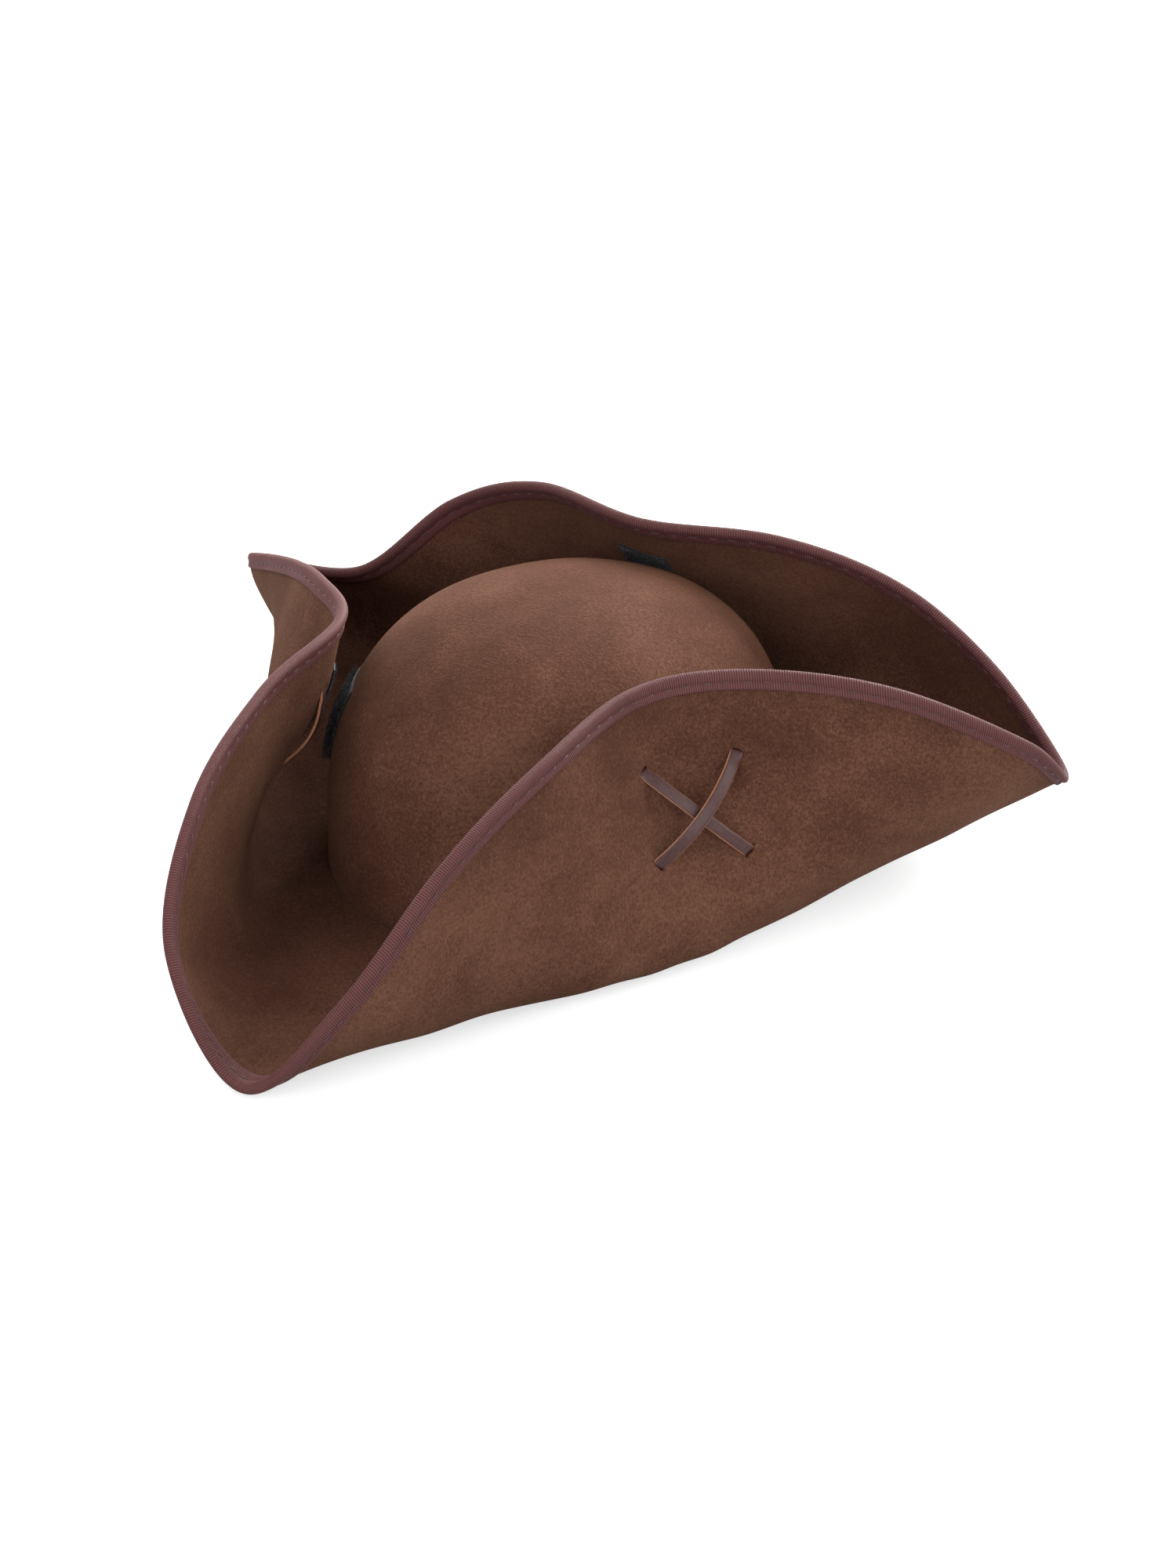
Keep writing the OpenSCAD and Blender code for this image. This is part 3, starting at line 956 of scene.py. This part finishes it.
def edgeStitching(side):
    # running stitches sunk in the groove of the ribbon, on both faces
    start, end = (edgeDistance(k) for k in flapSpan[side])
    count = int((end - start) // edging["stitchPitch"])
    run = start + (np.arange(count) + 0.5) * (end - start) / count
    parts = []
    for face in (1, -1):
        at = run + (0 if face > 0 else 0.5 * edging["stitchPitch"])
        u = edgeU(np.minimum(at, end - 3 * mm))
        lift = face * 1.6 * mm
        middle = atEdge(u, edging["stitchIn"], lift)
        ahead = unitOf(atEdge(u + 0.02, edging["stitchIn"], lift)
                       - atEdge(u - 0.02, edging["stitchIn"], lift))
        up = face * unitOf(atEdge(u, edging["stitchIn"], 1 * mm) - atEdge(u, edging["stitchIn"], 0))
        parts.append(stitchRings(middle, ahead, up, edging["stitchHalf"], 0.36 * mm, 0.35 * mm))
    obj = manySkins(side + "EdgeStitching", np.concatenate(parts))
    return give(obj, sewingThread)


edgeRibbons, edgeThreads = {}, {}
for side in flapNames:
    edgeRibbons[side] = edgeRibbon(side)
    edgeThreads[side] = edgeStitching(side)
    wire = edgeWire(side)
    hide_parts(side + "_binding_stitching")
    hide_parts(side + "_edge_wire")
    for piece in (edgeRibbons[side], edgeThreads[side], wire):
        bendWithFlap(piece)
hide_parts("right_binding", "front_corner_binding")
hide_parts("back_binding", "right_corner_binding")
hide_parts("left_binding", "left_corner_binding")
print("edge ribbon made")


# crossed lacing

lacing = {
    "holes": {"topFront": (-0.45, 0.885), "topBack": (0.45, 0.88),
              "lowFront": (-0.62, 0.73), "lowBack": (0.33, 0.695)},
    "stepsPerLeg": 60,
    # how high each leg arches over the cloth: down the cross, up inside, over, up inside
    "arch": (5.0 * mm, 2.5 * mm, 8.4 * mm, 5.5 * mm),
    "sag": 2.6 * mm,           # how far the crossing legs bow down along the cloth
    "slitHalf": 3.1 * mm,
    "slitWide": 1.0 * mm,
}


def holeAt(side, name):
    # the left flap's lacing is the mirror image of the right one's
    du, v = lacing["holes"][name]
    at = flapFasten[side]
    return (at + du if side == "right" else at - du), v


def legPoints(side, start, end, face, arch):
    # from hole to hole: a straight line from mouth to mouth plus an arch 4 t (1 - t),
    # raised as far as the cloth under it needs, and let down into the slits at both ends
    a, b = np.array(holeAt(side, start)), np.array(holeAt(side, end))
    t = np.linspace(0, 1, lacing["stepsPerLeg"] + 1)[1:-1]
    uv = a + (b - a) * t[:, None]
    lift = face * (hatForm["cloth"] + thong["thick"]) / 2
    from0, to0 = offBrim(*a, 0), offBrim(*b, 0)
    line = from0 + (to0 - from0) * t[:, None]
    up = unitOf(brimNormal(uv[:, 0], uv[:, 1]).mean(0)) * face
    cloth = ((offBrim(uv[:, 0], uv[:, 1], lift) - line) * up).sum(-1)
    wanted = 4 * t * (1 - t) * arch
    mouth = ease(t / 0.07) * ease((1 - t) / 0.07)
    height = np.maximum(cloth + 0.15 * mm, wanted) * mouth
    height = np.convolve(np.pad(height, 3, mode="edge"), np.ones(7) / 7, "valid")
    down = unitOf(np.array([0, 0, -1.0]) + up * up[2])     # downhill on the cloth
    sag = 4 * t * (1 - t) * (lacing["sag"] if face > 0 else 0)
    points = line + up * height[:, None] + down * sag[:, None]
    return points, np.broadcast_to(up * face, line.shape)


def lace(side):
    # one endless strap: down the cross, up inside, down over the cross, up inside
    order = [("topFront", "lowBack", 1), ("lowBack", "topBack", -1),
             ("topBack", "lowFront", 1), ("lowFront", "topFront", -1)]
    legs, ups = [], []
    for (start, end, face), arch in zip(order, lacing["arch"]):
        points, up = legPoints(side, start, end, face, arch)
        hole = np.array(holeAt(side, end))
        legs += [points, offBrim(hole[0], hole[1], 0)[None]]
        ups += [up, up[-1:]]
    points, up = np.concatenate(legs), np.concatenate(ups)
    ahead = unitOf(np.roll(points, -1, axis=0) - np.roll(points, 1, axis=0))
    # the strap's width lies across each leg; it turns over as it goes through a slit
    runs = [leg[-1] - leg[0] for leg in legs[::2]]         # every second entry is a lone hole point
    alongLeg = unitOf(np.concatenate([np.broadcast_to(runs[k // 2], leg.shape)
                                      for k, leg in enumerate(legs)]))
    wide = unitOf(np.cross(up, alongLeg))
    turns = np.concatenate([[1], np.sign((wide[1:] * wide[:-1]).sum(-1))])
    wide = wide * np.cumprod(turns)[:, None]
    for smoothing in range(8):
        wide = unitOf(np.roll(wide, 1, axis=0) + wide * 2 + np.roll(wide, -1, axis=0))
    wide = unitOf(wide - (wide * ahead).sum(-1, keepdims=True) * ahead)
    thin = np.cross(ahead, wide)
    w, h = thong["wide"] / 2, thong["thick"] / 2
    corner = 0.22 * mm
    section = np.array([(-w + corner, h), (-w / 2, h), (0, h), (w / 2, h), (w - corner, h), (w, h - corner),
                        (w, -h + corner), (w - corner, -h), (w / 2, -h), (0, -h), (-w / 2, -h),
                        (-w + corner, -h), (-w, -h + corner), (-w, h - corner)])
    rings = points[:, None] + wide[:, None] * section[None, :, :1] + thin[:, None] * section[None, :, 1:]
    size = np.linalg.norm(np.diff(points, axis=0, append=points[:1]), axis=1)
    run = np.concatenate([[0], np.cumsum(size)])
    # across is below 1 on the two faces and above it on the cut edges
    across = np.array([0.95, 0.7, 0.4, 0.7, 0.95, 1.05, 1.05, 0.95, 0.7, 0.4, 0.7, 0.95, 1.05, 1.05, 0.95])
    obj = skin(side + "Lace", rings, loop=True, across=across, along=run)
    give(obj, thongLeather)
    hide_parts(side + "_lace")
    return bendWithFlap(obj)


def cutSlits(side):
    # narrow slits in the flap where the strap goes through, cut out with flat plugs
    a = np.arange(16) / 16 * tau
    plugs = []
    partner = {"topFront": "lowBack", "topBack": "lowFront", "lowFront": "topBack", "lowBack": "topFront"}
    for name, other in partner.items():
        u, v = holeAt(side, name)
        n = brimNormal(u, v)
        leg = unitOf(offBrim(*holeAt(side, other), 0) - offBrim(u, v, 0))
        longWay = unitOf(np.cross(n, leg))
        shortWay = np.cross(longWay, n)
        x = np.sign(np.cos(a)) * np.abs(np.cos(a)) ** 0.8 * lacing["slitHalf"]
        y = np.sin(a) * lacing["slitWide"]
        rim = x[:, None] * longWay + y[:, None] * shortWay
        plugs.append(offBrim(u, v, 0) + n * np.array([-3, 3])[:, None, None] * mm + rim[None])
    cutter = manySkins(side + "SlitPlugs", np.stack(plugs))
    cloth = brimCloth[side]
    cut = cloth.modifiers.new("slits", "BOOLEAN")
    cut.operation = "DIFFERENCE"
    cut.solver = "EXACT"
    cut.object = cutter
    bpy.context.view_layer.update()
    made = bpy.data.meshes.new_from_object(cloth.evaluated_get(bpy.context.evaluated_depsgraph_get()))
    cloth.modifiers.clear()
    cloth.data = made
    bpy.data.objects.remove(cutter)
    # the cut mesh gets its rest places and its shading again; new points keep their own
    old = made.attributes.get("rest")
    if old:
        made.attributes.remove(old)
    rest = made.attributes.new("rest", "FLOAT_VECTOR", "POINT")
    rest.data.foreach_set("vector", pointsOf(made).ravel())
    setShading(cloth, side)


for side in ("right", "left"):
    cutSlits(side)
    lace(side)
print("lacing made")


# hook and loop pads

pads = {
    "wide": 26 * mm,
    "thick": 1.4 * mm,
    "groundShare": 0.6,        # the woven ground's share of the thickness
    "flapV": {"right": (0.76, 0.90), "back": (0.875, 0.92), "left": (0.76, 0.90)},
    "crownZ": {"right": (44, 74), "back": (28, 58), "left": (44, 74)},
    "crownAngle": {"right": -27, "back": 94, "left": 207},
    "alongStation": 56 * mm,   # length of one station at the edge
    "hooks": 850,
    "loops": 1500,
    "loopHigh": {"right": 3.2 * mm, "back": 1.25 * mm, "left": 3.2 * mm},   # the used pads are combed out
}


def padGround(name, place, count=28):
    # a thin woven tile over a patch; place(s, t, h) gives its points, s and t in 0..1
    s = np.linspace(0, 1, count)[:, None]
    t = np.linspace(0, 1, count)[None]
    rim = np.minimum(np.minimum(s, 1 - s), np.minimum(t, 1 - t)) * 30
    high = pads["thick"] * pads["groundShare"] * (0.55 + 0.45 * ease(rim))
    top = place(s, t, high)
    low = place(s, t, 0 * high + 0.02 * mm)
    return skin(name, np.concatenate([top, low[:, ::-1]], axis=1))


def padPile(name, place, random, count, high, lean, radius):
    # bent fibres standing on the ground: each follows a quarter to half circle
    s0, t0 = random.uniform(0.02, 0.98, (2, count))
    turn = random.uniform(0, tau, count)
    tall = high * random.uniform(0.7, 1.15, count)
    k = np.linspace(0, 1, 5)
    bend = lean * random.uniform(0.6, 1.2, count)
    s = s0[:, None] + bend[:, None] * np.cos(turn)[:, None] * (k**2)[None]
    t = t0[:, None] + bend[:, None] * np.sin(turn)[:, None] * (k**2)[None]
    up = pads["thick"] * pads["groundShare"] * 0.8 + tall[:, None] * np.sin(k * 2.2)[None]
    path = place(s, t, up)
    ahead = unitOf(np.gradient(path, axis=1))
    side = unitOf(np.cross(ahead, np.array([0.3, 0.5, 0.81])))
    over = np.cross(ahead, side)
    a = np.arange(4) / 4 * tau + 0.4
    thick = radius * (1 - 0.5 * k)[None, :, None, None]
    cos, sin = np.cos(a)[None, None, :, None], np.sin(a)[None, None, :, None]
    ring = side[:, :, None] * cos + over[:, :, None] * sin
    return manySkins(name, path[:, :, None] + thick * ring)


def joined(name, objs):
    # several meshes made one piece
    bm = bmesh.new()
    for obj in objs:
        bm.from_mesh(obj.data)
    mesh = bpy.data.meshes.new(name)
    bm.to_mesh(mesh)
    bm.free()
    for obj in objs:
        bpy.data.objects.remove(obj)
    result = bpy.data.objects.new(name, mesh)
    bpy.context.scene.collection.objects.link(result)
    return result


def flapPad(side, random):
    at = flapFasten[side]
    reach = pads["wide"] / pads["alongStation"]
    low, high = pads["flapV"][side]

    def place(s, t, h):
        s, t, h = np.broadcast_arrays(s, t, h)
        return offBrim(at + (s - 0.5) * reach, low + (high - low) * t, -hatForm["cloth"] / 2 - 0.1 * mm - h)

    ground = padGround(side + "HookGround", place)
    pile = padPile(side + "HookPile", place, random, pads["hooks"], 1.0 * mm, 0.03, 0.11 * mm)
    obj = joined(side + "FlapPad", [ground, pile])
    give(obj, hookPile)
    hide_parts(side + "_flap_pad")
    return bendWithFlap(obj)


def crownPad(side, random):
    middle = pads["crownAngle"][side]
    reach = math.degrees(pads["wide"] * 2 / hatForm["crownWide"])
    low, high = np.array(pads["crownZ"][side]) * mm

    def place(s, t, h):
        s, t, h = np.broadcast_arrays(s, t, h)
        z = low + (high - low) * t
        drawn = (1 - (z / hatForm["crownHigh"]) ** crown["sidePower"]) ** (1 / crown["planPower"])
        points = ovalPoint(middle + (s - 0.5) * reach, h + 0.3 * mm, 0) * drawn[..., None]
        points[..., 2] = z
        return points

    ground = padGround(side + "LoopGround", place)
    pile = padPile(side + "LoopPile", place, random, pads["loops"], pads["loopHigh"][side], 0.07, 0.10 * mm)
    obj = joined(side + "CrownPad", [ground, pile])
    give(obj, loopPile, "hat_body")
    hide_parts(side + "_crown_pad")


for index, side in enumerate(flapNames):
    flapPad(side, np.random.default_rng(40 + index))
    crownPad(side, np.random.default_rng(70 + index))
for side in flapNames:
    bendWithFlap(brimCloth[side])
print("pads made")
